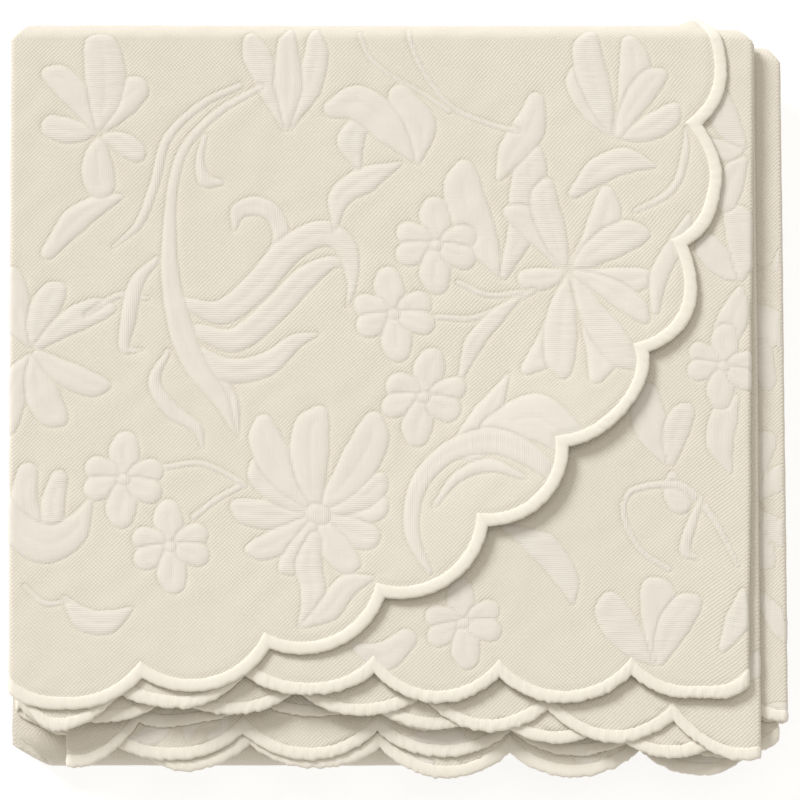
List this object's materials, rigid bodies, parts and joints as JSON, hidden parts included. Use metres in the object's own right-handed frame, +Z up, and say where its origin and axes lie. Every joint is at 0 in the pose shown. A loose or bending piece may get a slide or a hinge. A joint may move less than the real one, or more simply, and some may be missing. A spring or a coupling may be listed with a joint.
{
  "type": "folded bedspread",
  "caption": "Ivory raised-pattern cotton bedspread folded into a flat square pile, with a rounded scalloped corner on top and a thick stitched binding.",
  "frame": {"origin": "centre of the bounding box in plan, on the surface that the pile rests on", "axes": "+Z up; +X to the right as the picture shows it; +Y to the rear fold, away from the hems"},
  "size_m": [0.5432, 0.5574, 0.0638],
  "materials": {
    "cloth": "matte ivory matelassé, raised smooth figures on a fine dotted ground",
    "edge_binding": "dense satin stitching, soft sheen, slightly fuzzy outer edge"
  },
  "bodies": {
    "root": {"cloth": "cloth", "edge_binding": "edge_binding"}
  },
  "joints": []
}
